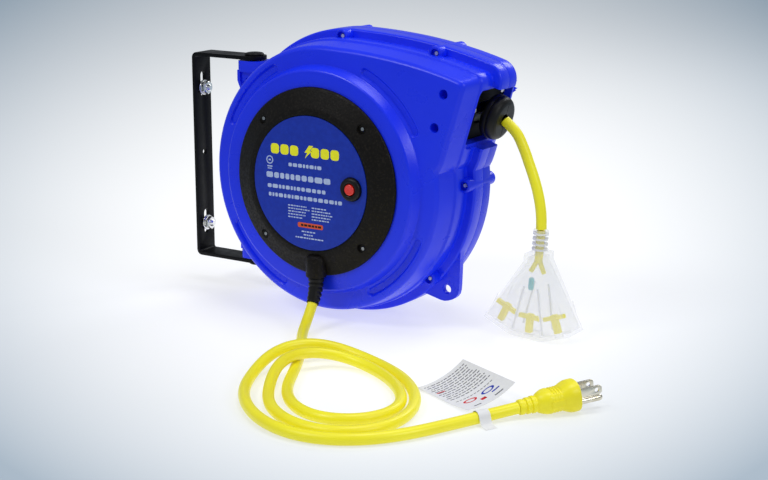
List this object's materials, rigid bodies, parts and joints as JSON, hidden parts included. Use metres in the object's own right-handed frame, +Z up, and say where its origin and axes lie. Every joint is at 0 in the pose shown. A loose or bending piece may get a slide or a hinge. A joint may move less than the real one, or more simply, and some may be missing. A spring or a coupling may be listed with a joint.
{
  "type": "extension cord reel",
  "caption": "Wall-mounted retractable extension cord reel: swivel bracket, round split casing, sprung drum, roller outlet, lead-in cord with plug, and a clear fan-shaped tap",
  "frame": {"origin": "point on the bracket web's back face, on its centre line, 20 mm below the web's centre hole", "axes": "+X out of the wall through the reel, +Z up, -Y is the label side; Y = 0 is the casing's parting plane"},
  "size_m": [0.4505, 0.3449, 0.2348],
  "materials": {
    "bracket_coat": "semi-gloss powder coat",
    "casing_plastic": "satin",
    "label_film": "satin",
    "black_plastic": "fine texture",
    "zinc_steel": "zinc plated",
    "brass_metal": "polished",
    "red_plastic": "gloss",
    "cord_jacket": "satin",
    "yellow_plastic": "satin",
    "clear_vinyl": "clear",
    "nylon": "satin",
    "lamp_green": "gloss",
    "tag_paper": "matt",
    "inner_grey": "satin"
  },
  "bodies": {
    "mount": {"bracket": "bracket_coat", "wall_washer_lower": "zinc_steel", "wall_washer_upper": "zinc_steel", "wall_nut_lower": "zinc_steel", "wall_nut_upper": "zinc_steel", "wall_stud_lower": "zinc_steel", "wall_stud_upper": "zinc_steel", "pivot_bolt_upper": "bracket_coat", "pivot_bolt_lower": "bracket_coat"},
    "casing": {"front_shell": "casing_plastic", "rear_shell": "casing_plastic", "case_screw_1": "zinc_steel", "case_screw_2": "zinc_steel", "case_screw_3": "zinc_steel", "case_screw_4": "zinc_steel", "cover_ring": "black_plastic", "label_disc": "label_film", "cover_screw_1": "bracket_coat", "cover_screw_2": "bracket_coat", "cover_screw_3": "bracket_coat", "cover_screw_4": "bracket_coat", "reset_bezel": "black_plastic", "breaker_body": "black_plastic", "strain_relief": "black_plastic", "axle": "zinc_steel", "front_carrier": "inner_grey", "brush_block": "black_plastic", "pawl_pin": "zinc_steel", "guide_frame": "black_plastic", "ball_stop_inner": "black_plastic", "ball_stop_outer": "black_plastic", "pivot_bush_upper": "nylon", "pivot_bush_lower": "nylon", "lead_cord": "cord_jacket", "plug_body": "yellow_plastic", "plug_blade_live": "brass_metal", "plug_blade_neutral": "brass_metal", "plug_ground_pin": "brass_metal", "tag": "tag_paper", "outlet_cord": "cord_jacket", "tap_body": "clear_vinyl", "tap_core": "yellow_plastic", "tap_socket_1": "yellow_plastic", "tap_socket_2": "nylon", "tap_socket_3": "yellow_plastic", "tap_lamp": "lamp_green"},
    "drum": {"drum_hub": "inner_grey", "drum_flange_front": "inner_grey", "drum_flange_rear": "inner_grey", "wound_cord": "cord_jacket", "ratchet_ring": "inner_grey", "slip_ring": "brass_metal", "spring_case": "zinc_steel", "mainspring": "zinc_steel"},
    "latch": {"pawl": "nylon"},
    "button": {"reset_button": "red_plastic"},
    "roller_top": {"guide_roller_upper": "nylon"},
    "roller_bottom": {"guide_roller_lower": "nylon"},
    "roller_left": {"guide_roller_front": "nylon"},
    "roller_right": {"guide_roller_rear": "nylon"}
  },
  "joints": [
    {"name": "casing_swivel", "type": "hinge", "parent": "mount", "child": "casing", "pos_m": [0.06, 0, 0.0189], "axis": [0, 0, 1], "range_deg": [-70, 80]},
    {"name": "drum_spin", "type": "hinge", "parent": "casing", "child": "drum", "pos_m": [0.167, 0, 0.022], "axis": [0, 1, 0], "continuous": true},
    {"name": "pawl_swing", "type": "hinge", "parent": "casing", "child": "latch", "pos_m": [0.167, -0.0323, 0.104], "axis": [0, 1, 0], "range_deg": [-22, 0], "stiffness_Nm_per_rad": 0.01},
    {"name": "reset_press", "type": "slide", "parent": "casing", "child": "button", "axis": [0, 1, 0], "range_m": [0, 0.002], "stiffness_N_per_m": 400},
    {"name": "roller_top_spin", "type": "hinge", "parent": "casing", "child": "roller_top", "pos_m": [0.27786, 0, 0.0909], "axis": [0, 1, 0], "continuous": true},
    {"name": "roller_bottom_spin", "type": "hinge", "parent": "casing", "child": "roller_bottom", "pos_m": [0.27304, 0, 0.07366], "axis": [0, 1, 0], "continuous": true},
    {"name": "roller_left_spin", "type": "hinge", "parent": "casing", "child": "roller_left", "pos_m": [0.26717, -0.00895, 0.08459], "axis": [0.2689, 0, 0.9632], "continuous": true},
    {"name": "roller_right_spin", "type": "hinge", "parent": "casing", "child": "roller_right", "pos_m": [0.26717, 0.00895, 0.08459], "axis": [0.2689, 0, 0.9632], "continuous": true}
  ]
}
